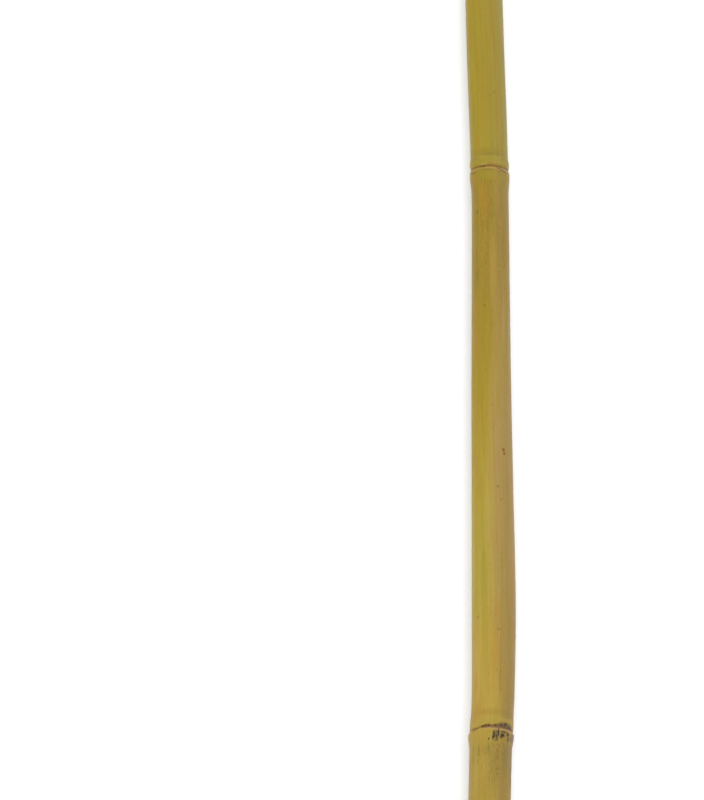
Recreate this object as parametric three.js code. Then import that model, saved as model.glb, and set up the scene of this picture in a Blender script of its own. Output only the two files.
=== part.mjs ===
// A length of bamboo cane: one culm with three nodes, sawn square at both ends and lying on the ground.
// Millimetres, +Z up. The cane runs along X with its butt at -X, and rests on the rings of its nodes at z = 0.
import * as THREE from "three";

const caneLength = 600;
const surfaceGap = 0.25; // under the internodes: the ring of each node reaches down through it
const ovalShare = 0.015; // how much flatter the section is than it is wide
const caneColour = 0xa89c46;
const caneRoughness = 0.42;

// The nodes, from the butt. `at` is the line of the sheath scar, measured along the cane.
// Below the line the culm swells by `swell` at `swellBelow`, and the swelling fades over `swellFade`.
// Above it stands a rounded ridge, `ridge` high and `ridgeWidth` wide. `bud` is the side of its bud, in degrees.
const nodes = [
  { at: 14, swell: 0.6, swellBelow: 1.3, swellFade: 3.4, ridge: 0.26, ridgeWidth: 2.6, bud: 99 },
  { at: 266, swell: 0.62, swellBelow: 1.3, swellFade: 3.6, ridge: 0.22, ridgeWidth: 3.2, bud: -81 },
  { at: 512, swell: 0.48, swellBelow: 2.4, swellFade: 4.0, ridge: 0.4, ridgeWidth: 2.1, bud: 99 },
];
const ridgeAbove = 3.2;
const lipRise = 0.8; // length over which the culm steps out below the line
const groove = { depth: 0.16, above: 0.3, width: 0.45 };
const bud = { height: 0.4, above: 1.9, halfWidth: 1.5, halfLength: 1.3 };
const lineWave = { height: 0.16, fade: 8 }; // how far the ring strays from a flat plane

// Half the width of the bare culm between its nodes: [distance from the butt, radius].
const radiusStations = [
  [0, 8.95],
  [120, 8.75],
  [240, 8.51],
  [281, 8.6],
  [324, 8.86],
  [376, 8.39],
  [446, 7.82],
  [500, 7.52],
  [545, 7.66],
  [600, 7.59],
];

// The culm's sway to its right as it grows, seen from above: [distance from the butt, sway].
const swayStations = [
  [0, -17.5],
  [60, -10.9],
  [125, -5.8],
  [215, -1.4],
  [240, -0.9],
  [262, -0.4],
  [268, -0.1],
  [283, 0.6],
  [324, 1.0],
  [411, 0.4],
  [498, 0.2],
  [524, -0.25],
  [560, -1.3],
  [600, -2.25],
];

// The hollow, open at each cut end as far as the wall inside the next node.
const boreShare = 0.46; // of the culm's own radius
const wallDome = 1.2; // the wall inside a node bulges towards the open end
const edgeBreak = 0.3; // the cut edges are slightly worn

const sides = 40;
const nodeZone = 10; // rings stand close together this far on each side of a node
const ringsPerSide = 9;
const ringCrowding = 3.5;
const internodeStep = 24;

const smoothStep = (x) => THREE.MathUtils.smoothstep(x, 0, 1);
const bell = (x) => Math.exp(-x * x);

// A smooth curve through the stations: each stretch is a cubic whose end slopes are those between its neighbours.
function through(stations, s) {
  const last = stations.length - 1;
  let i = 0;
  while (i < last - 1 && s > stations[i + 1][0]) i += 1;
  const slope = (k) => {
    const a = stations[Math.max(k - 1, 0)];
    const b = stations[Math.min(k + 1, last)];
    return (b[1] - a[1]) / (b[0] - a[0]);
  };
  const [s0, v0] = stations[i];
  const [s1, v1] = stations[i + 1];
  const h = s1 - s0;
  const t = (s - s0) / h;
  const t2 = t * t;
  const t3 = t2 * t;
  const fromValues = v0 * (2 * t3 - 3 * t2 + 1) + v1 * (3 * t2 - 2 * t3);
  const fromSlopes = slope(i) * (t3 - 2 * t2 + t) + slope(i + 1) * (t3 - t2);
  return fromValues + h * fromSlopes;
}

// How far the skin stands out at a distance d above a node's line: the swelling below it, the ridge above it,
// the groove between them and, on one side, the bud.
function nodeRelief(node, d, angle, radius) {
  const below = Math.max(-d - node.swellBelow, 0) / node.swellFade;
  const swelling = node.swell * smoothStep((0.1 - d) / lipRise) * bell(below);
  const ridge = node.ridge * bell((d - ridgeAbove) / node.ridgeWidth) * smoothStep(d);
  const cut = groove.depth * bell((d - groove.above) / groove.width);
  const around = radius * Math.sin(angle - THREE.MathUtils.degToRad(node.bud));
  const faces = Math.cos(angle - THREE.MathUtils.degToRad(node.bud)) > 0 ? 1 : 0;
  const budRise = bud.height * bell(around / bud.halfWidth) * bell((d - bud.above) / bud.halfLength);
  return swelling + ridge - cut + faces * budRise;
}

// Radius of the skin at distance s from the butt, on the side at this angle.
function skinRadius(s, angle) {
  const bare = through(radiusStations, s);
  let radius = bare * (1 - (ovalShare * (1 - Math.cos(2 * angle))) / 2);
  for (const node of nodes) radius += nodeRelief(node, s - node.at, angle, bare);
  return radius;
}

// The rings stray a little along the culm, most at the nodes.
function lineStray(s, angle) {
  const wave = Math.sin(2 * angle + 0.6) + 0.5 * Math.sin(3 * angle + 2.1);
  let stray = 0;
  for (const node of nodes) stray += lineWave.height * wave * bell((s - node.at) / lineWave.fade);
  return stray;
}

// Distances of the rings of points from the butt: crowded at the nodes, even along the internodes.
function ringStations() {
  const rings = [];
  const crowded = (i) => (nodeZone * Math.sinh((ringCrowding * i) / ringsPerSide)) / Math.sinh(ringCrowding);
  let from = edgeBreak;
  const ends = [...nodes.map((node) => node.at - nodeZone), caneLength - edgeBreak];
  ends.forEach((to, n) => {
    const steps = Math.max(Math.round((to - from) / internodeStep), 1);
    for (let i = 0; i < steps; i += 1) rings.push(from + ((to - from) * i) / steps);
    if (n === nodes.length) {
      rings.push(to);
      return;
    }
    for (let i = -ringsPerSide; i < ringsPerSide; i += 1) rings.push(nodes[n].at + crowded(i));
    from = nodes[n].at + nodeZone;
  });
  return rings;
}

// Half of the culm's lengthwise section, from the axis at the butt to the axis at the tip:
// x is a share of the skin's radius, y the distance from the butt.
function sectionPoints() {
  const buttWall = nodes[0].at - 1.5;
  const tipWall = nodes[nodes.length - 1].at + 3.5;
  const edge = 1 - edgeBreak / radiusStations[0][1];
  const points = [];
  const add = (share, s) => points.push(new THREE.Vector2(share, s));
  const domeShares = [0, 0.35, 0.7, 1];
  domeShares.forEach((x) => add(boreShare * x, buttWall - wallDome * (1 - x * x)));
  add(boreShare, buttWall / 2);
  add(boreShare, 0);
  add(edge, 0);
  ringStations().forEach((s) => add(1, s));
  add(edge, caneLength);
  const boreSteps = 5;
  for (let i = 0; i < boreSteps; i += 1) {
    add(boreShare, THREE.MathUtils.lerp(caneLength, tipWall, i / boreSteps));
  }
  domeShares.reverse().forEach((x) => add(boreShare * x, tipWall + wallDome * (1 - x * x)));
  return points;
}

// Turns the section into a straight blank, then moves each point on to the swayed, ringed culm.
// What would sink below the ground is worn flat there, which gives each node a small foot.
function caneGeometry() {
  const geometry = new THREE.LatheGeometry(sectionPoints(), sides);
  geometry.deleteAttribute("normal");
  geometry.deleteAttribute("uv");
  const position = geometry.getAttribute("position");
  for (let i = 0; i < position.count; i += 1) {
    const share = Math.hypot(position.getX(i), position.getZ(i));
    const angle = Math.atan2(position.getX(i), position.getZ(i));
    const s = position.getY(i);
    const radius = share * skinRadius(s, angle);
    const onSkin = share > 0.99 ? 1 : 0;
    const centreHeight = through(radiusStations, s) * (1 - ovalShare) + surfaceGap;
    const x = s + onSkin * lineStray(s, angle) - caneLength / 2;
    const y = radius * Math.cos(angle) - through(swayStations, s);
    const z = centreHeight + radius * Math.sin(angle);
    position.setXYZ(i, x, y, Math.max(z, 0));
  }
  geometry.computeBoundingBox();
  const middle = geometry.boundingBox.getCenter(new THREE.Vector3());
  geometry.translate(-middle.x, -middle.y, 0);
  geometry.computeVertexNormals();
  return geometry;
}

const material = new THREE.MeshStandardMaterial({
  color: caneColour,
  roughness: caneRoughness,
  metalness: 0,
});

const cane = new THREE.Mesh(caneGeometry(), material);
cane.name = "cane";

const group = new THREE.Group();
group.add(cane);

export default group;
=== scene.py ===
import math

import bpy
import numpy as np
from mathutils import Matrix, Vector


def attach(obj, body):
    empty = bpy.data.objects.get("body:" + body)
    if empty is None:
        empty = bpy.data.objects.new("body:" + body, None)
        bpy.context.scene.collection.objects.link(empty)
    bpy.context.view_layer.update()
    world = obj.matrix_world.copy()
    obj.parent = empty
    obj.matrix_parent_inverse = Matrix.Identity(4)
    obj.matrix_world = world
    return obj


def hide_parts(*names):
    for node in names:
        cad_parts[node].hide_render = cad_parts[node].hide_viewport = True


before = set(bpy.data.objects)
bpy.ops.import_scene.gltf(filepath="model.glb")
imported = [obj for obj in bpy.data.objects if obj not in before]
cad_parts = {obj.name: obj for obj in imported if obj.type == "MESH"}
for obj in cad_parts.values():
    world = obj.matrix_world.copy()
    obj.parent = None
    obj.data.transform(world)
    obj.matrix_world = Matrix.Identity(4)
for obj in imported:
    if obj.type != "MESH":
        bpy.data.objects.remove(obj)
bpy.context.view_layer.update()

# A length of bamboo cane on a white floor, seen from above, with its tip just past the top of the picture.
# The cane's lengths are in millimetres and become metres when its mesh is written. Those of the camera and
# the floor are in metres.
mm = 0.001

culm = {
    "length": 600.0,
    "surfaceGap": 0.25,  # under the internodes, which the rings of the nodes reach down through
    "ovalShare": 0.015,  # how much flatter the section is than it is wide
    # distance from the butt, half the width of the bare culm
    "radius": [(0, 8.95), (120, 8.75), (240, 8.51), (281, 8.6), (324, 8.86),
               (376, 8.39), (446, 7.82), (500, 7.52), (545, 7.66), (600, 7.59)],
    # distance from the butt, sway to the right as it grows
    "sway": [(0, -17.5), (60, -10.9), (125, -5.8), (215, -1.4), (240, -0.9), (262, -0.4), (268, -0.1),
             (283, 0.6), (324, 1.0), (411, 0.4), (498, 0.2), (524, -0.25), (560, -1.3), (600, -2.25)],
    # low waves over the skin: length, turns round the culm, phase along it, phase round it, share
    "lumps": [(31.0, 1, 0.4, 0.92, 1.0), (17.0, 2, 2.2, 5.06, 0.8), (11.3, 1, 4.1, 9.43, 0.6),
              (7.7, 3, 1.3, 2.99, 0.45), (4.9, 2, 5.2, 11.96, 0.3)],
    "lumpHeight": 0.035 / 3,  # of the first of them
    # shallow ribs along the culm: how many round it, length over which they drift, phase, share
    "ribs": [(9, 210.0, 0.3, 1.0), (14, 150.0, 1.9, 0.8), (23, 120.0, 4.4, 0.6), (34, 90.0, 0.8, 0.45)],
    "ribHeight": 0.01,  # of the first of them
    "flatRadius": 8.2,  # of the skin that is laid flat for its markings
    "columns": 144,
    "internodeStep": 1.75,
    "nodeZone": 12.0,  # rings of points stand close together this far on each side of a node
    "nodeRings": 32,
    "crowding": 3.2,  # the higher, the closer they stand to the node's line
}

# `at` is the line of the sheath scar. Below it the culm swells, and above it stands a rounded ridge.
# `bud` is the side that bears the node's bud, in degrees.
nodeShapes = [
    {"at": 14.0, "swell": 0.6, "swellBelow": 1.3, "swellFade": 3.4,
     "ridge": 0.26, "ridgeWidth": 2.6, "bud": 99},
    {"at": 266.0, "swell": 0.62, "swellBelow": 1.3, "swellFade": 3.6,
     "ridge": 0.22, "ridgeWidth": 3.2, "bud": -81},
    {"at": 512.0, "swell": 0.48, "swellBelow": 2.4, "swellFade": 4.0,
     "ridge": 0.4, "ridgeWidth": 2.1, "bud": 99},
]

scar = {
    "lipAbove": 0.1,  # the swelling ends this far above the line
    "lipRise": 0.8,  # and falls away over this length
    "ridgeAbove": 3.2,
    "ridgeRise": 1.0,  # the ridge starts to rise over this length
    "grooveDepth": 0.16,
    "grooveAbove": 0.3,
    "grooveWidth": 0.45,
    "budHeight": 0.4,
    "budAbove": 1.9,
    "budHalfWidth": 1.5,
    "budHalfLength": 1.3,
    # how far the ring strays from a flat plane: turns round the culm, phase, height
    "strays": [(2, 0.6, 0.16), (3, 2.1, 0.08)],
    "strayFade": 8.0,
    # the torn edge that the sheath left: turns, phase, how much the bud's side adds to it, height
    "tears": [(11, 0.7, 0.0, 0.07), (23, 0.0, 2.0, 0.049), (41, 0.0, 0.0, 0.035)],
    "tearFade": 1.5,
}

cutEnds = {
    "boreShare": 0.46,  # of the culm's own radius
    "buttWallBelow": 1.5,  # the wall that closes the hollow, from the line of the first node
    "tipWallAbove": 3.5,  # and from the line of the last one
    "wallDome": 1.2,  # the wall bulges towards the open end
    "edgeBreak": 0.3,  # how far the sawn edges are worn round
    "meanRadius": 8.3,  # of the two ends
    # how many rows of points each stretch of the section has
    "rimRows": 5,
    "faceRows": 14,
    "buttBoreRows": 8,
    "tipBoreRows": 30,
    "domeRows": 8,
}
skinSlot, cutSlot, hollowSlot = range(3)  # the order of the cane's materials


# smoothStep: 3x^2 - 2x^3, held at 0 below 0 and at 1 above 1
def smoothStep(x):
    x = np.clip(x, 0.0, 1.0)
    return x * x * (3.0 - 2.0 * x)


# bell: e to the power of minus x squared
def bell(x):
    return np.exp(-x * x)


# ripple: the sum of height * sin(turns * angle + phase)
def ripple(waves, angle):
    return sum(height * np.sin(turns * angle + phase) for turns, phase, height in waves)


# A smooth curve through the stations: each stretch is a cubic whose slope at a station is that
# of the straight line between the station before it and the one after it.
def through(stations, s):
    at, value = np.array(stations, float).T
    last = len(at) - 1
    before = np.maximum(np.arange(last + 1) - 1, 0)
    after = np.minimum(np.arange(last + 1) + 1, last)
    slope = (value[after] - value[before]) / (at[after] - at[before])
    i = np.clip(np.searchsorted(at, s, side="left") - 1, 0, last - 1)
    h = at[i + 1] - at[i]
    t = (s - at[i]) / h
    fromValues = value[i] * (2 * t**3 - 3 * t**2 + 1) + value[i + 1] * (3 * t**2 - 2 * t**3)
    fromSlopes = slope[i] * (t**3 - 2 * t**2 + t) + slope[i + 1] * (t**3 - t**2)
    return fromValues + h * fromSlopes


# Height of the skin at a distance d above a node's line: swell * step(lip - d) * bell(depth below the
# swelling) + ridge * step(d) * bell(d - ridge's place) - groove * bell(d - groove's place) + bud, where
# bud = height * bell(distance round from the bud) * bell(distance along from it).
def nodeRelief(node, d, angle, radius):
    tears = [(turns, phase + share * node["bud"], height) for turns, phase, share, height in scar["tears"]]
    torn = d + ripple(tears, angle) * bell(d / scar["tearFade"])
    below = np.maximum(-d - node["swellBelow"], 0.0) / node["swellFade"]
    swelling = node["swell"] * smoothStep((scar["lipAbove"] - torn) / scar["lipRise"]) * bell(below)
    ridge = node["ridge"] * bell((d - scar["ridgeAbove"]) / node["ridgeWidth"])
    ridge = ridge * smoothStep(d / scar["ridgeRise"])
    groove = scar["grooveDepth"] * bell((torn - scar["grooveAbove"]) / scar["grooveWidth"])
    side = angle - math.radians(node["bud"])
    along = (d - scar["budAbove"]) / scar["budHalfLength"]
    budRise = scar["budHeight"] * bell(radius * np.sin(side) / scar["budHalfWidth"]) * bell(along)
    return swelling + ridge - groove + np.where(np.cos(side) > 0, budRise, 0.0)


# What is uneven over the whole skin. Each wave has a whole number of turns round the culm, so it closes:
# lumps = sum of share * sin(s / length + phase) * cos(turns * angle + phase), and
# ribs = sum of share * cos(number * angle + phase + s / drift).
def grownRelief(s, angle):
    lumps = sum(share * np.sin(s / long + phase) * np.cos(turns * angle + turned)
                for long, turns, phase, turned, share in culm["lumps"])
    ribs = sum(share * np.cos(number * angle + phase + s / drift)
               for number, drift, phase, share in culm["ribs"])
    return culm["lumpHeight"] * lumps + culm["ribHeight"] * ribs


# radius = bare * (1 - oval * (1 - cos 2a) / 2) + grown relief + the relief of each node
def skinRadius(s, angle):
    bare = through(culm["radius"], s)
    radius = bare * (1 - culm["ovalShare"] * (1 - np.cos(2 * angle)) / 2) + grownRelief(s, angle)
    return radius + sum(nodeRelief(node, s - node["at"], angle, bare) for node in nodeShapes)


# How far the rings stray along the culm: ripple * bell(distance from a node's line / fade)
def lineStray(s, angle):
    nearness = sum(bell((s - node["at"]) / scar["strayFade"]) for node in nodeShapes)
    return ripple(scar["strays"], angle) * nearness


# Height of the culm's middle over the floor: bare radius * (1 - oval) + gap
def centreHeight(s):
    return through(culm["radius"], s) * (1 - culm["ovalShare"]) + culm["surfaceGap"]


# Distances of the skin's rings from the butt: line + zone * sinh(crowding * t) / sinh(crowding) at a node,
# with t in even steps from -1 to 1, and even steps along the internodes.
def ringStations():
    zone, rings, crowding = culm["nodeZone"], culm["nodeRings"], culm["crowding"]
    near = zone * np.sinh(crowding * np.linspace(-1, 1, 2 * rings + 1)) / math.sinh(crowding)
    start, last = cutEnds["edgeBreak"], culm["length"] - cutEnds["edgeBreak"]
    pieces = []
    for node in nodeShapes:
        pieces.append(np.arange(start, node["at"] - zone, culm["internodeStep"]))
        pieces.append(node["at"] + near)
        start = node["at"] + zone + culm["internodeStep"]
    pieces.append(np.arange(start, last, culm["internodeStep"]))
    return np.append(np.concatenate(pieces), last)


# Half of the culm's lengthwise section, from the axis inside the butt to the axis inside the tip, as three
# lists: share of the skin's radius, distance from the butt, material. The walls inside bulge by
# dome * (1 - share^2), and the worn edges are quarter circles.
def sectionRows():
    bore, length, worn = cutEnds["boreShare"], culm["length"], cutEnds["edgeBreak"]
    buttWall = nodeShapes[0]["at"] - cutEnds["buttWallBelow"]
    tipWall = nodeShapes[-1]["at"] + cutEnds["tipWallAbove"]
    edge = worn / cutEnds["meanRadius"]
    dome = np.linspace(0, 1, cutEnds["domeRows"])
    bulge = cutEnds["wallDome"] * (1 - dome**2)
    turn = np.linspace(0, math.pi / 2, cutEnds["rimRows"])
    rimShare = 1 - edge * (1 - np.sin(turn))
    rimRise = worn * (1 - np.cos(turn))
    face = np.linspace(bore, 1 - edge, cutEnds["faceRows"])[1:-1]
    buttBore = np.linspace(buttWall, 0, cutEnds["buttBoreRows"] + 1)[1:]
    tipBore = np.linspace(length, tipWall, cutEnds["tipBoreRows"] + 1)[:-1]
    rings = ringStations()
    parts = [
        (bore * dome, buttWall - bulge, hollowSlot),
        (np.full_like(buttBore, bore), buttBore, hollowSlot),
        (face, np.zeros_like(face), cutSlot),
        (rimShare[:-1], rimRise[:-1], cutSlot),
        (np.ones_like(rings), rings, skinSlot),
        (rimShare[-2::-1], length - rimRise[-2::-1], cutSlot),
        (face[::-1], np.full_like(face, length), cutSlot),
        (np.full_like(tipBore, bore), tipBore, hollowSlot),
        (bore * dome[::-1], tipWall + bulge[::-1], hollowSlot),
    ]
    share = np.concatenate([shares for shares, places, slot in parts])
    s = np.concatenate([places for shares, places, slot in parts])
    finish = np.concatenate([np.full(len(shares), slot) for shares, places, slot in parts])
    return share, s, finish


# Faces of a grid that closes round the culm, with one point at each end of the section: point 0, then
# ring r and column c at 1 + r * columns + c, then the last point.
def tubeFaces(rings, columns):
    column = np.arange(columns)
    beside = (column + 1) % columns
    low = 1 + np.arange(rings - 1)[:, None] * columns
    high = low + columns
    quads = np.stack([low + column, low + beside, high + beside, high + column], axis=2).reshape(-1, 4)
    lastRing = 1 + (rings - 1) * columns
    tipPoint = np.full(columns, lastRing + columns)
    firstFan = np.stack([np.zeros(columns, int), 1 + beside, 1 + column], axis=1)
    lastFan = np.stack([tipPoint, lastRing + column, lastRing + beside], axis=1)
    return firstFan, quads, lastFan


# The list of points of such a grid, whose first and last rows are each a single point
def listPoints(grid):
    return np.concatenate([grid[:1, 0], grid[1:-1].reshape((-1,) + grid.shape[2:]), grid[-1:, 0]])


# Keeps a number or a vector for each point or face corner, for the materials to read
def keepAttribute(mesh, name, domain, values):
    isVector = values.ndim == 2
    attribute = mesh.attributes.new(name, "FLOAT_VECTOR" if isVector else "FLOAT", domain)
    attribute.data.foreach_set("vector" if isVector else "value", values.astype(np.float32).ravel())


# Each face corner's place on the skin laid flat: (round from the top, along from the butt, 0), where
# round = (column / columns - 1 / 2) * 2 pi * radius. Underneath, the first column is also the last one.
def flatPlaces(mesh, pointAlong, rings, columns):
    cornerPoint = np.zeros(len(mesh.loops), np.int32)
    mesh.loops.foreach_get("vertex_index", cornerPoint)
    corners = np.zeros(len(mesh.polygons), np.int32)
    mesh.polygons.foreach_get("loop_total", corners)
    faceColumn = np.repeat(np.tile(np.arange(columns), rings + 1), corners)
    column = np.clip(cornerPoint - 1, 0, rings * columns - 1) % columns
    column = np.where((column == 0) & (faceColumn == columns - 1), columns, column)
    around = (column / columns - 0.5) * 2 * math.pi * culm["flatRadius"]
    return np.stack([around, pointAlong[cornerPoint], np.zeros(len(cornerPoint))], axis=1)


# The cane's surface: point = (s + stray - length / 2, r cos a - sway, centre height + r sin a),
# held at the floor, where r = share * skin radius and a turns from one side over the top.
def makeCane():
    share, s, finish = sectionRows()
    rings, columns = len(s) - 2, culm["columns"]  # the first and the last row are single points
    angle = -math.pi / 2 + 2 * math.pi * np.arange(columns) / columns
    sGrid, aGrid = np.meshgrid(s, angle, indexing="ij")
    radius = share[:, None] * skinRadius(sGrid, aGrid)
    onSkin = (finish == skinSlot)[:, None]
    x = sGrid + onSkin * lineStray(sGrid, aGrid) - culm["length"] / 2
    y = radius * np.cos(aGrid) - through(culm["sway"], sGrid)
    z = np.maximum(centreHeight(sGrid) + radius * np.sin(aGrid), 0.0)
    aside = (y.min() + y.max()) / 2  # taken off, so that the cane is centred
    place = np.stack([x, y - aside, z], axis=2)

    mesh = bpy.data.meshes.new("caneSkin")
    firstFan, quads, lastFan = tubeFaces(rings, columns)
    faces = [*firstFan.tolist(), *quads.tolist(), *lastFan.tolist()]
    mesh.from_pydata((listPoints(place) * mm).tolist(), [], faces)
    low = np.repeat(np.arange(rings + 1), columns)  # the row below each face
    high = low + 1
    faceFinish = np.maximum(finish[low], finish[high])
    faceFinish[(finish[low] == cutSlot) | (finish[high] == cutSlot)] = cutSlot
    mesh.polygons.foreach_set("material_index", faceFinish.astype(np.int32))
    mesh.polygons.foreach_set("use_smooth", s[low] != s[high])  # the sawn faces are flat
    mesh.update()

    # the straightened cane, for patterns that must not show a seam
    bare = (share * through(culm["radius"], s))[:, None]
    grain = np.stack([bare * np.cos(aGrid), bare * np.sin(aGrid), sGrid], axis=2)
    gap = sGrid[..., None] - np.array([node["at"] for node in nodeShapes])
    fromLine = np.take_along_axis(gap, np.abs(gap).argmin(axis=2)[..., None], axis=2)[..., 0]
    shareGrid = np.broadcast_to(share[:, None], sGrid.shape)
    for name, grid in (("grain", grain), ("fromLine", fromLine), ("share", shareGrid)):
        keepAttribute(mesh, name, "POINT", listPoints(grid))
    keepAttribute(mesh, "flatSkin", "CORNER", flatPlaces(mesh, listPoints(sGrid), rings, columns))

    cane = bpy.data.objects.new("bambooCane", mesh)
    bpy.context.scene.collection.objects.link(cane)
    return cane, aside


# Short ways to add shader nodes to one material
class NodeBench:
    def __init__(self, name):
        self.material = bpy.data.materials.new(name)
        self.material.use_nodes = True
        self.tree = self.material.node_tree
        self.tree.nodes.clear()
        self.output = self.add("ShaderNodeOutputMaterial")
        self.shader = self.add("ShaderNodeBsdfPrincipled")
        self.join(self.shader.outputs[0], self.output.inputs["Surface"])

    def add(self, kind, **settings):
        node = self.tree.nodes.new(kind)
        for name, value in settings.items():
            setattr(node, name, value)
        return node

    # links the target to another node's socket, or sets it to a plain value
    def join(self, source, target):
        if hasattr(source, "is_output"):
            self.tree.links.new(source, target)
        else:
            target.default_value = source

    def attribute(self, name, output):
        return self.add("ShaderNodeAttribute", attribute_name=name).outputs[output]

    def maths(self, operation, *values, kind="ShaderNodeMath"):
        node = self.add(kind, operation=operation)
        for socket, value in zip(node.inputs, values):
            self.join(value, socket)
        return node.outputs[0]

    def times(self, a, b):
        return self.maths("MULTIPLY", a, b)

    # vector * scale + start, or with "TEXTURE" (vector - start), turned back by `tilt`, / scale
    def mapped(self, vector, scale, start=(0, 0, 0), tilt=0, kind="POINT"):
        node = self.add("ShaderNodeMapping", vector_type=kind)
        for name, value in (("Vector", vector), ("Location", start), ("Scale", scale)):
            self.join(value, node.inputs[name])
        node.inputs["Rotation"].default_value = (0, 0, math.radians(tilt))
        return node.outputs[0]

    # a cloudy pattern from 0 to 1 over the vector, which is stretched and moved first
    def noise(self, vector, scale, stretch=(1, 1, 1), start=(0, 0, 0),
              detail=3, roughness=0.55, output="Fac"):
        node = self.add("ShaderNodeTexNoise")
        self.join(self.mapped(vector, stretch, start), node.inputs["Vector"])
        for name, value in (("Scale", scale), ("Detail", detail), ("Roughness", roughness)):
            node.inputs[name].default_value = value
        return node.outputs[output]

    # a soft or a straight step from `toLow` at `low` to `toHigh` at `high`, which may be the smaller one
    def between(self, value, low, high, toLow=0.0, toHigh=1.0, smooth=True):
        node = self.add("ShaderNodeMapRange", interpolation_type="SMOOTHSTEP" if smooth else "LINEAR")
        self.join(value, node.inputs["Value"])
        for name, number in zip(("From Min", "From Max", "To Min", "To Max"), (low, high, toLow, toHigh)):
            node.inputs[name].default_value = number
        return node.outputs[0]

    # 1 inside a band with soft edges: a step up over `rise` times a step down over `fall`
    def band(self, value, rise, fall):
        return self.times(self.between(value, *rise), self.between(value, *fall))

    # the stops' colours, by the value, with even steps from one to the next
    def ramp(self, value, stops):
        node = self.add("ShaderNodeValToRGB")
        self.join(value, node.inputs[0])
        bar = node.color_ramp.elements
        while len(bar) < len(stops):
            bar.new(0.5)  # moved to its place below
        for element, (at, colour) in zip(bar, stops):
            element.position = at
            element.color = (*colour, 1.0)
        return node.outputs["Color"]

    # a * (1 - amount) + b * amount, or with "MULTIPLY" a * b in the place of b, on the colour sockets
    def mix(self, amount, a, b, blend="MIX"):
        node = self.add("ShaderNodeMix", data_type="RGBA", blend_type=blend)
        self.join(amount, node.inputs[0])
        for socket, value in ((node.inputs[6], a), (node.inputs[7], b)):
            self.join((*value, 1.0) if isinstance(value, tuple) else value, socket)
        return node.outputs[2]

    def bump(self, height, distance, under=None):
        node = self.add("ShaderNodeBump")
        node.inputs["Distance"].default_value = distance
        self.join(height, node.inputs["Height"])
        if under is not None:
            self.join(under, node.inputs["Normal"])
        return node.outputs[0]

    # sets what the shader needs, and gives the finished material
    def finish(self, colour, roughness, shine, normal=None):
        inputs = self.shader.inputs
        self.join(colour, inputs["Base Color"])
        self.join(roughness, inputs["Roughness"])
        inputs["Specular IOR Level"].default_value = shine
        if normal is not None:
            self.join(normal, inputs["Normal"])
        return self.material


# Lays a noise's colours over what is there, one after another:
# colour = mix(strength * step(noise, from low to high), colour, look)
def layNoise(bench, grain, colour, layer, looks):
    cloud = bench.noise(grain, **layer["noise"])
    for low, high, strength, look in layer["lays"]:
        cover = bench.between(cloud, low, high, 0.0, strength)
        if "within" in layer:
            patches = bench.noise(grain, **layer["within"])
            cover = bench.times(cover, bench.between(patches, *layer["withinFrom"]))
        colour = bench.mix(cover, colour, looks[look])
    return colour


# The light that the shader works with, from a colour's 0 to 255 values on a screen: with v = value / 255,
# light = ((v + 0.055) / 1.055) to the power of 2.4, or v / 12.92 where v is very low.
def shade(colour):
    shares = (value / 255 for value in colour)
    return tuple(((v + 0.055) / 1.055) ** 2.4 if v > 0.04045 else v / 12.92 for v in shares)


skinFinish = {
    # the rind's colours as they look in this light
    "colours": {
        "green": (167, 147, 47),
        "olive": (160, 133, 42),
        "fresh": (170, 146, 46),
        "pale": (184, 161, 72),
        "golden": (189, 159, 68),
        "yellow": (177, 149, 64),
        "fadedGreen": (170, 153, 62),
        "tan": (179, 148, 82),
        "warmTan": (176, 146, 70),
        "brownTan": (168, 139, 66),
        "streakDark": (138, 114, 40),
        "streakPale": (186, 163, 84),
        "orange": (178, 134, 46),
        "leafGreen": (150, 143, 42),
        "ridge": (170, 152, 64),
        # the scar's own dark brown, also painted shadow under the lip
        "scarLineAndShadow": (120, 88, 40),
        "scarLip": (184, 150, 88),
    },
    # the left side's colour, by distance from the butt
    "left": [(0, "yellow"), (258, "yellow"), (270, "golden"), (306, "golden"), (330, "pale"), (362, "pale"),
             (410, "fresh"), (462, "olive"), (508, "olive"), (514, "green"), (600, "green")],
    # and the right side's
    "right": [(0, "brownTan"), (262, "brownTan"), (330, "tan"), (394, "tan"), (424, "warmTan"),
              (500, "brownTan"), (516, "fadedGreen"), (600, "fadedGreen")],
    # where the left colour meets the right one: distance from the butt, place round from the top
    "meeting": [(0, 2.5), (240, 2.0), (262, 3.4), (280, 3.6), (298, 1.6), (312, 0.7), (350, 0.4),
                (410, -0.4), (440, 0.8), (500, 2.6), (600, 3.5)],
    "meetingReach": 5.0,  # the farthest from the top that it can be
    "blend": 2.2,  # half the width of that soft edge
    "waver": 1.3,  # how far it strays to each side
    "waverNoise": {"stretch": (1, 1, 0.12), "scale": 0.35},
    "turned": (24.0, 15.0),  # places round from the top between which the right colour turns back
    "flankShade": 0.22,  # painted shade: how much darker the right side gets towards the floor, against the soft box's light
    "flankShadeFrom": (-4.0, 8.0),
    # the clearer yellow of the left side, which grows from the first of `clearAlong` to the last
    "clear": 0.9,
    "clearTint": (1.0, 0.98, 0.2),
    "clearRise": (-12.0, -8.0),
    "clearFall": (-2.5, -6.5),
    "clearAlong": (180.0, 420.0),
    "light": 1.5,  # what the light does to white paint, so paint is this much darker than its look
    "sheen": 0.013,  # what the satin surface adds of its own
    "darkest": 0.002,
    "roughness": (0.4, 0.51),
    "shine": 0.2,
    "fibreNoise": {"stretch": (1, 1, 0.03), "start": (2, 4, 8), "scale": 3.0, "roughness": 0.6},
    "fibreHeight": 0.012,
    "unevenNoise": {"stretch": (1, 1, 0.3), "scale": 0.35, "detail": 2, "roughness": 0.5},
    "unevenHeight": 0.06,
}
noiseReach = (0.3, 0.7)  # nearly all of a noise lies between these

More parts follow.
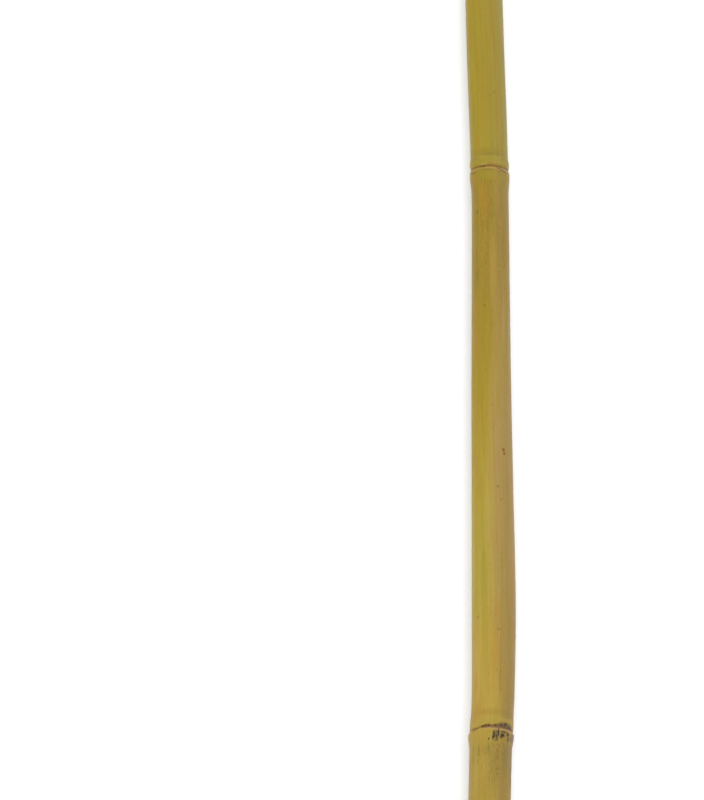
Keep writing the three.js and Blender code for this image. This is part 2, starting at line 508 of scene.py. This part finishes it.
# What runs along the grain, in the order in which it lies on the rind. Each is a noise stretched along the
# cane, and what it lays there is (the noise where this begins, the noise where it is full, strength, colour).
grainLayers = [
    {  # blotches
        "noise": {"stretch": (1, 1, 0.14), "start": (5, 1, 9), "scale": 0.3, "roughness": 0.6},
        "lays": [(0.52, 0.72, 0.3, "orange")],
    },
    {  # broad stripes, paler and darker
        "noise": {"stretch": (1, 1, 0.03), "start": (3, 7, 1), "scale": 0.55, "detail": 2, "roughness": 0.5},
        "lays": [(0.5, 0.7, 0.16, "streakPale"), (0.5, 0.3, 0.16, "streakDark")],
    },
    {  # broad stripes, greener and redder
        "noise": {"stretch": (1, 1, 0.02), "start": (8, 2, 5), "scale": 0.75, "detail": 2, "roughness": 0.5},
        "lays": [(0.52, 0.66, 0.34, "leafGreen"), (0.48, 0.34, 0.272, "orange")],
    },
    {  # flecks, where the skin is worn
        "noise": {"stretch": (1, 1, 0.2), "start": (6, 3, 2), "scale": 2.3, "detail": 2, "roughness": 0.5},
        "lays": [(0.58, 0.72, 0.4, "streakDark")],
        "within": {"stretch": (1, 1, 0.3), "start": (2, 9, 4), "scale": 0.16, "detail": 2},
        "withinFrom": (0.45, 0.6),
    },
    {  # fibres
        "noise": {"stretch": (1, 1, 0.03), "scale": 1.9, "detail": 4, "roughness": 0.65},
        "lays": [(0.5, 0.75, 0.26, "streakPale"), (0.5, 0.25, 0.26, "streakDark")],
    },
    {  # specks
        "noise": {"stretch": (1, 1, 0.55), "start": (4, 4, 1), "scale": 1.7, "detail": 4, "roughness": 0.7},
        "lays": [(0.48, 0.3, 0.16, "streakDark"), (0.52, 0.7, 0.16, "streakPale")],
    },
]


# The paint that has this look: (light of the look - sheen) / how much the light brightens white paint
def paint(colour):
    sheen, darkest, light = skinFinish["sheen"], skinFinish["darkest"], skinFinish["light"]
    return tuple(max(v - sheen, darkest) / light for v in shade(colour))


rindPaint = {name: paint(colour) for name, colour in skinFinish["colours"].items()}


# colour = mix(step(place round from the top - meeting place), left, right), then the grain's layers, then
# painted shade on the right flank, darker towards the floor against the soft box's light, and clearer
# yellow on the left. Past the right flank everything turns back, so that it closes underneath.
def rindColour(bench, grain, around, along):
    length, reach, soft = culm["length"], skinFinish["meetingReach"], skinFinish["blend"]
    share = bench.maths("DIVIDE", along, length)
    left = bench.ramp(share, [(at / length, rindPaint[name]) for at, name in skinFinish["left"]])
    right = bench.ramp(share, [(at / length, rindPaint[name]) for at, name in skinFinish["right"]])
    greys = [(at / length, (place / (2 * reach) + 0.5,) * 3) for at, place in skinFinish["meeting"]]
    meeting = bench.maths("MULTIPLY_ADD", bench.ramp(share, greys), 2 * reach, -reach)
    wave = bench.noise(grain, **skinFinish["waverNoise"])
    strayed = bench.between(wave, *noiseReach, -skinFinish["waver"], skinFinish["waver"], smooth=False)
    edge = bench.maths("SUBTRACT", bench.maths("ADD", around, strayed), meeting)
    turned = bench.between(around, *skinFinish["turned"])
    colour = bench.mix(bench.times(bench.between(edge, -soft, soft), turned), left, right)
    for layer in grainLayers:
        colour = layNoise(bench, grain, colour, layer, rindPaint)

    # painted shade: the right flank darkened towards the floor, against the soft box's light there
    flankShade = bench.between(around, *skinFinish["flankShadeFrom"], 0.0, skinFinish["flankShade"])
    colour = bench.mix(bench.times(flankShade, turned), colour, (0.0, 0.0, 0.0))
    side = bench.band(around, skinFinish["clearRise"], skinFinish["clearFall"])
    clear = bench.between(along, *skinFinish["clearAlong"], 0.0, skinFinish["clear"])
    return bench.mix(bench.times(side, clear), colour, skinFinish["clearTint"], "MULTIPLY")


# Rings of colour at each node, by distance above its line. `rise` is (where it starts, where it is full),
# and `fall` is (where it has gone, up to where it is full).
scarFinish = {
    "bands": [
        {"rise": (1.0, 2.4), "fall": (5.2, 3.6), "strength": 0.35, "look": "ridge"},
        {"rise": (4.6, 6.0), "fall": (9.0, 6.8), "strength": 0.25, "look": "streakDark"},
    ],
    # the pale lip under the line, and the line itself: the scar's own dark brown and painted shadow where the
    # lip drops into the groove
    "lip": {"rise": (-1.5, -0.9), "fall": (0.0, -0.3), "strength": 0.4, "look": "scarLip"},
    "line": {"rise": (-0.45, -0.05), "fall": (0.75, 0.3), "look": "scarLineAndShadow"},
    "lineStrength": (0.45, 0.75),  # where it's most and least worn
    "wornFrom": (0.35, 0.6),
    "wander": 0.3,  # how far both stray from the groove
    "wanderNoise": {"stretch": (1, 1, 0), "start": (6, 2, 0), "scale": 0.8},
}


# colour = mix(band(distance) * strength, colour, look)
def layBand(bench, colour, distance, band, strength):
    cover = bench.times(bench.band(distance, band["rise"], band["fall"]), strength)
    return bench.mix(cover, colour, rindPaint[band["look"]])


# The scar's rings, laid over the rind from the ridge down to the line
def layScar(bench, colour, grain):
    fromLine = bench.attribute("fromLine", "Fac")
    for band in scarFinish["bands"]:
        colour = layBand(bench, colour, fromLine, band, band["strength"])
    wave = bench.noise(grain, **scarFinish["wanderNoise"])
    wander = bench.between(wave, *noiseReach, -scarFinish["wander"], scarFinish["wander"], smooth=False)
    offLine = bench.maths("ADD", fromLine, wander)
    colour = layBand(bench, colour, offLine, scarFinish["lip"], scarFinish["lip"]["strength"])
    # the line: the scar's dark brown and painted shadow in the groove above the lip
    worn = bench.between(wave, *scarFinish["wornFrom"], *scarFinish["lineStrength"])
    return layBand(bench, colour, offLine, scarFinish["line"], worn)


# Spots, strokes and patches on the skin, in the order in which they lie on each other. Each is an ellipse
# on the skin laid flat: (round from the top, along from the butt, half width, half length, strength,
# softness), and some have their tilt in degrees after it. `broken` is how far the fibres part it.
marks = [
    {"look": (126, 100, 36), "broken": 0.95, "places": [  # weathered strokes below the nodes
        (-1, 249, 13, 15, 0.34, 0.8), (-1, 478, 13, 36, 0.34, 0.8),
    ]},
    {"look": (176, 146, 66), "broken": 0, "places": [  # warm patches
        (-3, 259, 1.5, 4.5, 0.55, 0.9), (-6.4, 256, 1.1, 9, 0.6, 0.9), (8.4, 270, 2.4, 1.2, 0.5, 0.9),
        (1.4, 513.4, 2.4, 0.7, 0.6, 0.8), (-5.4, 514.6, 1.6, 1, 0.5, 0.8), (6.2, 447, 1, 22, 0.3, 0.9),
        (0.8, 468, 3, 27, 0.65, 0.9), (-4, 466, 2.6, 26, 0.25, 0.9),
    ]},
    {"look": (194, 165, 76), "broken": 0, "places": [  # paler skin low on the left, and painted light down the left flank
        # the long first one down the left flank is partly paler skin, partly painted light where the soft
        # box's light falls off
        (-6.2, 290, 2.6, 45, 0.6, 0.9), (-6, 246, 2.4, 14, 0.5, 0.9), (-2.4, 249, 3.2, 13, 0.35, 0.9),
    ]},
    {"look": (158, 143, 46), "broken": 0, "places": [  # greener skin
        (-2, 507.5, 6.6, 3.4, 0.7, 0.9), (-5, 514.6, 4, 1.3, 0.6, 0.9), (0.5, 515.2, 3, 1.3, 0.5, 0.9),
        (-5, 256.6, 1, 3.4, 0.6, 0.9), (-0.8, 258, 0.8, 5, 0.6, 0.9), (-4.8, 572, 1, 22, 0.7, 0.9),
        (1.8, 551, 2.6, 26, 0.3, 0.9), (-3.2, 296, 1.4, 20, 0.2, 0.9), (-3.4, 330, 2.2, 18, 0.15, 0.9),
        (-0.6, 263.8, 3.2, 1.2, 0.35, 0.9), (-8.4, 270, 3, 1.6, 0.5, 0.9),
    ]},
    {"look": (181, 131, 42), "broken": 0, "places": [  # orange patches
        (-2.9, 494.6, 1.9, 7.5, 0.6, 0.9), (-6.7, 434, 1.5, 11, 0.7, 0.9),
        (-6.8, 448.5, 1.3, 4.5, 0.6, 0.9), (-7.2, 507, 1.8, 2.5, 0.5, 0.9), (-5.8, 523, 1.2, 5, 0.5, 0.9),
        (-6.9, 274, 2.4, 7, 0.5, 0.9), (-7.6, 286, 1.4, 8, 0.4, 0.9), (1.2, 317, 1.2, 7, 0.4, 0.9),
        (-5.8, 585, 1, 9, 0.4, 0.9), (-7.6, 548, 0.8, 12, 0.4, 0.9), (-7.2, 402, 0.8, 14, 0.45, 0.9),
        (5.2, 486, 1, 8, 0.3, 0.9), (-2.6, 583, 0.8, 9, 0.35, 0.9), (0.5, 296, 2.6, 22, 0.28, 0.9),
        (-4, 500, 2, 7.5, 0.5, 0.9),
    ]},
    {"look": (172, 136, 92), "broken": 0, "places": [  # pinkish patches
        (5.6, 441, 0.8, 17, 0.6, 0.9), (8.2, 410, 1, 14, 0.3, 0.9), (5.8, 511, 3.4, 1.3, 0.85, 0.7, -8),
        (5.6, 509.3, 1.8, 0.5, 0.5, 0.8), (9.6, 253.5, 2.4, 9, 0.4, 0.9), (1.6, 256.6, 1, 1.6, 0.35, 0.9),
    ]},
    {"look": (118, 106, 62), "broken": 0.2, "places": [  # weathered grey-brown skin
        (7, 254, 3.6, 9, 0.4, 0.9), (10.2, 251, 3, 14, 0.65, 0.9), (0.8, 249, 3.4, 13, 0.18, 0.9),
        (10, 262.4, 3.2, 1.7, 0.75, 0.8), (2.4, 254.5, 0.8, 3.4, 0.4, 0.9),
        (0, 517.2, 9.5, 1.2, 0.35, 0.9), (6.5, 505, 0.6, 2.4, 0.5, 0.9), (-1, 256.4, 5, 3.2, 0.2, 0.9),
        (5.6, 517.6, 3.6, 0.9, 0.25, 0.9), (-7.4, 515.9, 3.6, 1.4, 0.4, 0.9),
        (7.4, 515.9, 3.6, 1.4, 0.4, 0.9), (-2, 510.3, 7, 0.9, 0.35, 0.8),
        (4.6, 509.5, 2.6, 1, 0.4, 0.8, -8), (-8.4, 501, 2, 7, 0.2, 0.9),
    ]},
    {"look": (188, 152, 92), "broken": 0, "places": [  # pale lips of the scars
        (2.4, 265.55, 7.6, 0.75, 0.8, 0.6), (7.2, 264.9, 2.4, 0.6, 0.6, 0.6),
        (5.7, 263.2, 0.6, 0.9, 0.6, 0.7), (-3, 513, 3, 0.4, 0.8, 0.7), (0.2, 511, 3.8, 0.35, 0.45, 0.7),
        (4.2, 513.9, 0.9, 0.9, 0.45, 0.9), (-7.2, 511, 2, 0.3, 0.4, 0.8, 4),
    ]},
    {"look": (156, 112, 60), "broken": 0.2, "places": [  # red-brown scar
        (1, 512.3, 2.7, 0.85, 0.75, 0.5), (7.6, 512, 4.6, 0.45, 0.7, 0.7),
        (-8.6, 512.2, 4.4, 0.5, 0.6, 0.7, 3),
    ]},
    {"look": (132, 92, 62), "broken": 0.2, "places": [  # purple-brown scar
        (-1.2, 266.6, 4.4, 0.8, 0.95, 0.5), (4.4, 266.7, 4.6, 0.9, 0.95, 0.5, 3),
        (9.8, 266.6, 3.8, 0.7, 0.95, 0.5, -2), (10.7, 411, 0.9, 8, 0.8, 0.8),
        (10.8, 399, 0.6, 4, 0.5, 0.8),
    ]},
    {"look": (122, 98, 86), "broken": 0, "places": [  # mauve shade under the lower scar and on its right
        (4, 265.7, 7, 0.8, 0.55, 0.7), (10.2, 262.2, 3.2, 1.8, 0.65, 0.8), (9.8, 264, 2.6, 1.2, 0.6, 0.8),
        (10, 257.6, 2.8, 3.6, 0.4, 0.9),
    ]},
    {"look": (138, 84, 38), "broken": 0, "places": [  # rusty spots
        (4.9, 386.8, 0.95, 1, 1, 0.5), (5.2, 385.2, 0.9, 0.8, 0.9, 0.5),
    ]},
    {"look": (112, 78, 28), "broken": 0.15, "places": [  # dark brown scar lines: their own colour and painted shadow under the lips
        (-3, 511.85, 3.7, 0.65, 0.7, 0.5), (-8.2, 511.9, 4.6, 0.5, 0.7, 0.6, 4),
        (4.9, 511.9, 2.8, 0.45, 0.9, 0.6, -6), (6.7, 510.3, 2.6, 0.5, 0.95, 0.6, -8),
        (9.8, 512.2, 3.2, 0.6, 0.9, 0.6, 6), (-8.6, 509.9, 3.2, 0.45, 0.8, 0.7, -8),
        (4.2, 511, 2.2, 0.42, 0.85, 0.7, -12), (5.4, 514.9, 2.8, 0.2, 0.35, 0.8, 18),
        (-8.6, 266.1, 4.4, 0.4, 0.9, 0.5, 2), (-7, 265, 2.6, 0.34, 0.7, 0.6, 14),
        (-5.9, 266, 1.6, 0.4, 0.8, 0.6, -10), (0, 512, 1.2, 0.3, 0.5, 0.6),
    ]},
    {"look": (96, 80, 56), "broken": 0.5, "places": [  # grey bark left above the lower scar
        (5.4, 267.45, 3.9, 1.25, 1, 0.4, 4), (2.6, 267, 2.4, 0.8, 0.9, 0.5),
        (8.2, 267.6, 1.9, 0.8, 0.85, 0.5), (1.9, 262.8, 1.3, 2, 0.85, 0.6),
        (4.6, 263, 1.9, 1.7, 0.8, 0.6), (2, 260.4, 1.4, 0.9, 0.6, 0.7),
    ]},
    {"look": (120, 102, 36), "broken": 0, "places": [  # olive dots and thin streaks
        (-6.6, 492.6, 0.8, 1, 0.9, 0.7), (-2.8, 450.3, 0.8, 0.6, 0.7, 0.8),
        (2, 370.3, 0.7, 0.8, 0.75, 0.8), (3.3, 364.7, 0.9, 0.6, 0.45, 0.9), (3, 545, 0.9, 0.7, 0.5, 0.9),
        (1.3, 543.4, 0.8, 0.5, 0.5, 0.9), (-6.6, 314, 0.9, 1.2, 0.5, 0.9), (1.8, 308, 0.8, 0.9, 0.6, 0.9),
        (-3.9, 506, 0.24, 2.4, 0.8, 0.9), (-2.1, 505.8, 0.24, 2.4, 0.8, 0.9),
        (0.4, 504.6, 0.24, 2, 0.5, 0.9), (2.3, 505, 0.24, 1.6, 0.5, 0.9), (-4.8, 257, 0.4, 3, 0.5, 0.9),
        (-8, 257.5, 0.5, 3.6, 0.4, 0.9), (-0.8, 256.5, 0.4, 3.5, 0.5, 0.9),
        (2.8, 290, 0.5, 0.8, 0.4, 0.9), (-8.6, 384, 0.3, 4, 0.5, 0.9), (-3.4, 386, 0.25, 5, 0.4, 0.9),
        (2.7, 256.2, 0.5, 1.7, 0.7, 0.8), (3.6, 257.9, 0.45, 1.1, 0.6, 0.8),
        (5.4, 258.6, 0.4, 1, 0.5, 0.8), (-7.8, 253, 0.4, 2.5, 0.4, 0.9), (-5.4, 252, 0.4, 2, 0.45, 0.9),
        (2.8, 253.2, 0.45, 1.8, 0.6, 0.8), (4.9, 255.2, 0.4, 1.5, 0.5, 0.8),
        (1.2, 258, 0.4, 1.2, 0.5, 0.8), (6.6, 256.4, 0.4, 1.6, 0.4, 0.9),
        (2.7, 248.1, 0.9, 0.8, 0.6, 0.8), (3.3, 246, 0.8, 0.8, 0.6, 0.8),
        (3.5, 244.6, 0.6, 0.8, 0.35, 0.9), (-5, 254.6, 1, 1, 0.45, 0.9),
        (-2.2, 254.7, 0.9, 0.9, 0.4, 0.9), (1.8, 260.4, 0.9, 0.9, 0.5, 0.9),
        (-6.4, 464, 0.4, 5, 0.5, 0.9), (-4.4, 469, 0.3, 4, 0.5, 0.9), (-7.2, 474, 0.3, 5, 0.4, 0.9),
    ]},
    {"look": (56, 42, 22), "broken": 0.25, "places": [  # black strokes at the lower scar
        (0.95, 262.5, 0.62, 2.6, 1, 0.5, -4), (2.75, 263.7, 0.42, 2.5, 1, 0.5),
        (2.15, 261.5, 0.55, 1.5, 0.9, 0.5, 12), (4.4, 262.7, 1.3, 0.9, 1, 0.5, 14),
        (3.8, 261.8, 0.55, 0.8, 0.9, 0.5), (6.8, 263.6, 0.62, 1.3, 1, 0.5),
        (7.2, 261.7, 0.5, 1.3, 0.95, 0.5, 6), (5, 264.3, 2.4, 0.45, 0.9, 0.6, 5),
        (-0.8, 260.8, 0.45, 0.8, 0.75, 0.7), (1.9, 264.2, 0.4, 0.6, 0.7, 0.7),
        (2.7, 258.7, 0.5, 0.6, 0.6, 0.8), (4.4, 259.5, 0.4, 0.7, 0.5, 0.8),
        (-3.4, 266.65, 0.9, 0.45, 0.85, 0.6), (-2.2, 266.9, 0.6, 0.6, 0.9, 0.6),
        (-1.1, 266.9, 0.55, 0.6, 0.9, 0.6), (1.5, 266.7, 0.6, 0.5, 0.8, 0.6),
        (3.8, 267.2, 0.5, 0.7, 0.8, 0.6), (5.2, 267.4, 0.5, 0.8, 0.7, 0.6),
        (6, 267.9, 0.6, 0.7, 0.7, 0.6), (8.2, 266.9, 1.4, 0.45, 0.85, 0.6, 6),
    ]},
]

# Every mark has an uneven edge, and the fibres part the broken ones.
markEdge = {
    "noise": {"stretch": (1, 1, 0.7), "scale": 1.5, "detail": 5, "roughness": 0.62},
    "reach": (1.0, 0.9),  # round and along
    "strokes": {"stretch": (1, 1, 0.25), "start": (7, 7, 7), "scale": 2.6, "detail": 2},
    "strokesFrom": (0.56, 0.42),
}


# cover = strength * step((1 - distance from the ellipse's middle, in its own half sizes) / softness)
def markCover(bench, flat, around, along, halfAround, halfAlong, strength, softness, tilt=0):
    own = bench.mapped(flat, (halfAround, halfAlong, 1), (around, along, 0), tilt, "TEXTURE")
    ball = bench.add("ShaderNodeTexGradient", gradient_type="SPHERICAL")
    bench.join(own, ball.inputs[0])
    return bench.between(ball.outputs["Fac"], 0.0, softness, 0.0, strength)


# Lays each group of marks over the rind: cover = the most of its places' covers, and in a broken group
# times (strokes * broken + 1 - broken). The places move by noise * reach - reach / 2.
def layMarks(bench, colour, grain, flat):
    across, along = markEdge["reach"]
    rough = bench.noise(grain, **markEdge["noise"], output="Color")
    shift = bench.maths("MULTIPLY_ADD", rough, (across, along, 0), (-across / 2, -along / 2, 0),
                        kind="ShaderNodeVectorMath")
    uneven = bench.maths("ADD", flat, shift, kind="ShaderNodeVectorMath")
    strokes = bench.between(bench.noise(grain, **markEdge["strokes"]), *markEdge["strokesFrom"])
    for mark in marks:
        cover = None
        for place in mark["places"]:
            one = markCover(bench, uneven, *place)
            cover = one if cover is None else bench.maths("MAXIMUM", cover, one)
        broken = mark["broken"]
        if broken:
            cover = bench.times(cover, bench.maths("MULTIPLY_ADD", strokes, broken, 1 - broken))
        colour = bench.mix(cover, colour, paint(mark["look"]))
    return colour


# The rind: its colours, the scars and the marks, on low unevenness and fine fibres
def makeSkin():
    bench = NodeBench("bambooRind")
    grain = bench.attribute("grain", "Vector")
    flat = bench.attribute("flatSkin", "Vector")
    apart = bench.add("ShaderNodeSeparateXYZ")
    bench.join(flat, apart.inputs[0])
    colour = rindColour(bench, grain, apart.outputs[0], apart.outputs[1])
    colour = layScar(bench, colour, grain)
    colour = layMarks(bench, colour, grain, flat)
    low = bench.noise(grain, **skinFinish["unevenNoise"])
    normal = bench.bump(low, skinFinish["unevenHeight"] * mm)
    fibres = bench.noise(grain, **skinFinish["fibreNoise"])
    normal = bench.bump(fibres, skinFinish["fibreHeight"] * mm, under=normal)
    roughness = bench.between(low, *noiseReach, *skinFinish["roughness"])
    return bench.finish(colour, roughness, skinFinish["shine"], normal)


cutFinish = {
    "colours": {
        "pith": (228, 209, 160),
        "wood": (221, 198, 144),
        "outer": (196, 165, 102),
        "rim": (150, 126, 62),
        "bundle": (132, 96, 48),
    },
    "depthFrom": (0.4, 1.0),  # shares of the skin's radius
    "depths": [(0.0, "pith"), (0.3, "wood"), (0.72, "outer"), (0.94, "rim"), (1.0, "rim")],
    # ends of the fibre bundles: how many to the millimetre, size as a share of their spacing, and the shares
    # of the skin's radius between which they come in
    "bundles": [(1.25, 0.3, (0.84, 0.7)), (2.7, 0.34, (0.7, 0.84))],
    "bundleCore": 0.45,  # the share of their size that is fully dark
    "bundleStrength": 0.75,
    "scatter": 0.75,
    "stain": {"noise": {"stretch": (1, 1, 0), "scale": 0.35}, "lays": [(0.5, 0.75, 0.4, "outer")]},
    "sawNoise": {"stretch": (0.25, 3.5, 0), "scale": 1.0, "detail": 2},
    "sawHeight": 0.05,
    "roughness": 0.78,
    "shine": 0.25,
}


# The sawn wood: pale inside and darker towards the rind, dotted with the ends of its fibre bundles, which are
# smaller and closer together towards the outside. dot = step(size - distance to the nearest centre)
def makeCutFace():
    bench = NodeBench("bambooCut")
    looks = {name: shade(colour) for name, colour in cutFinish["colours"].items()}
    grain = bench.attribute("grain", "Vector")
    share = bench.attribute("share", "Fac")
    depth = bench.between(share, *cutFinish["depthFrom"], smooth=False)
    colour = bench.ramp(depth, [(at, looks[name]) for at, name in cutFinish["depths"]])
    section = bench.mapped(grain, (1, 1, 0))
    for density, size, zone in cutFinish["bundles"]:
        cells = bench.add("ShaderNodeTexVoronoi", voronoi_dimensions="2D", feature="F1")
        for name, value in (("Vector", section), ("Scale", density), ("Randomness", cutFinish["scatter"])):
            bench.join(value, cells.inputs[name])
        dots = bench.between(cells.outputs["Distance"], size, size * cutFinish["bundleCore"])
        dots = bench.times(dots, bench.between(share, *zone))
        colour = bench.mix(bench.times(dots, cutFinish["bundleStrength"]), colour, looks["bundle"])
    colour = layNoise(bench, grain, colour, cutFinish["stain"], looks)
    saw = bench.noise(grain, **cutFinish["sawNoise"])
    normal = bench.bump(saw, cutFinish["sawHeight"] * mm)
    return bench.finish(colour, cutFinish["roughness"], cutFinish["shine"], normal)


hollowFinish = {
    "colours": {"pale": (219, 200, 152), "dark": (176, 148, 96)},
    "fibres": {
        "noise": {"stretch": (1, 1, 0.06), "scale": 2.2, "roughness": 0.6},
        "lays": [(0.4, 0.7, 0.5, "dark")],
    },
    "stain": {
        "noise": {"stretch": (1, 1, 0.4), "start": (5, 5, 5), "scale": 0.4},
        "lays": [(0.5, 0.7, 0.6, "dark")],
    },
    "fibreHeight": 0.04,
    "roughness": 0.85,
    "shine": 0.2,
}


# The hollow's papery lining, with fibres along it and a few brown stains
def makeHollow():
    bench = NodeBench("bambooHollow")
    looks = {name: shade(colour) for name, colour in hollowFinish["colours"].items()}
    grain = bench.attribute("grain", "Vector")
    colour = layNoise(bench, grain, looks["pale"], hollowFinish["fibres"], looks)
    colour = layNoise(bench, grain, colour, hollowFinish["stain"], looks)
    fibres = bench.noise(grain, **hollowFinish["fibres"]["noise"])
    normal = bench.bump(fibres, hollowFinish["fibreHeight"] * mm)
    return bench.finish(colour, hollowFinish["roughness"], hollowFinish["shine"], normal)


picture = {
    "width": 704,
    "height": 800,
    "elevation": 67.0,  # degrees
    "distance": 6.0,
    "pixel": 0.0004,  # how much of the cane one pixel of the picture shows
    "node": (491.25, 734.5),  # where the middle node's centre falls
    "film": 36.0,  # along the picture's height, in millimetres as the lens is
    "nearest": 0.1,
    "farthest": 50.0,
}


# The camera looks along the cane from above: forward = (cos e, 0, -sin e), and its target lies
# beside the middle node, as far as the picture's centre is from that node.
def makeCamera(nodePoint):
    e = math.radians(picture["elevation"])
    forward = Vector((math.cos(e), 0, -math.sin(e)))
    right = Vector((0, -1, 0))
    up = Vector((math.sin(e), 0, math.cos(e)))
    across = picture["node"][0] - picture["width"] / 2
    down = picture["node"][1] - picture["height"] / 2
    target = nodePoint - right * across * picture["pixel"] + up * down * picture["pixel"]
    camera = bpy.data.cameras.new("camera")
    camera.sensor_width = picture["film"]
    camera.lens = picture["film"] * picture["distance"] / (picture["height"] * picture["pixel"])
    camera.clip_start, camera.clip_end = picture["nearest"], picture["farthest"]
    holder = bpy.data.objects.new("camera", camera)
    place = target - forward * picture["distance"]
    holder.matrix_world = Matrix((
        (right.x, up.x, -forward.x, place.x),
        (right.y, up.y, -forward.y, place.y),
        (right.z, up.z, -forward.z, place.z),
        (0, 0, 0, 1),
    ))
    bpy.context.scene.collection.objects.link(holder)
    bpy.context.scene.camera = holder


studio = {
    "skyStrength": 1.32,
    "sunStrength": 0.77,
    "sunSpread": 70.0,  # degrees: a wide soft box
    "sunHeight": 62.0,  # degrees
    "sunAlong": 0.1,  # how far it leans towards the tip
    "floorSize": 8.0,
    "floorColour": (0.93, 0.95, 0.985),
    "floorRoughness": 0.9,
    "floorShine": 0.1,
}


# A white sky, one soft box and a square of floor. The soft box shines from (lean, -cos h, sin h).
def makeStudio():
    world = bpy.data.worlds.new("studio")
    world.use_nodes = True
    sky = world.node_tree.nodes["Background"]
    sky.inputs["Color"].default_value = (1, 1, 1, 1)
    sky.inputs["Strength"].default_value = studio["skyStrength"]
    bpy.context.scene.world = world

    lamp = bpy.data.lights.new("softBox", "SUN")
    lamp.energy = studio["sunStrength"]
    lamp.angle = math.radians(studio["sunSpread"])
    holder = bpy.data.objects.new("softBox", lamp)
    h = math.radians(studio["sunHeight"])
    towards = Vector((studio["sunAlong"], -math.cos(h), math.sin(h)))
    holder.rotation_mode = "QUATERNION"
    holder.rotation_quaternion = towards.to_track_quat("Z", "Y")
    bpy.context.scene.collection.objects.link(holder)

    half = studio["floorSize"] / 2
    corners = [(-half, -half, 0), (half, -half, 0), (half, half, 0), (-half, half, 0)]
    mesh = bpy.data.meshes.new("floor")
    mesh.from_pydata(corners, [], [(0, 1, 2, 3)])
    floor = bpy.data.objects.new("floor", mesh)
    bpy.context.scene.collection.objects.link(floor)
    bench = NodeBench("floorPaper")
    white = (*studio["floorColour"], 1)
    mesh.materials.append(bench.finish(white, studio["floorRoughness"], studio["floorShine"]))
    bpy.context.scene.view_settings.view_transform = "Standard"


cane, aside = makeCane()
print("cane made:", len(cane.data.polygons), "faces")
for material in (makeSkin(), makeCutFace(), makeHollow()):
    cane.data.materials.append(material)
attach(cane, "root")
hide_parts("cane")
print("finishes made")

nodeAt = np.array([nodeShapes[1]["at"]])  # the middle node
nodePoint = Vector((
    float(nodeAt[0] - culm["length"] / 2) * mm,
    float(-through(culm["sway"], nodeAt)[0] - aside) * mm,
    float(centreHeight(nodeAt)[0]) * mm,
))
makeCamera(nodePoint)
makeStudio()
print("camera and studio made")
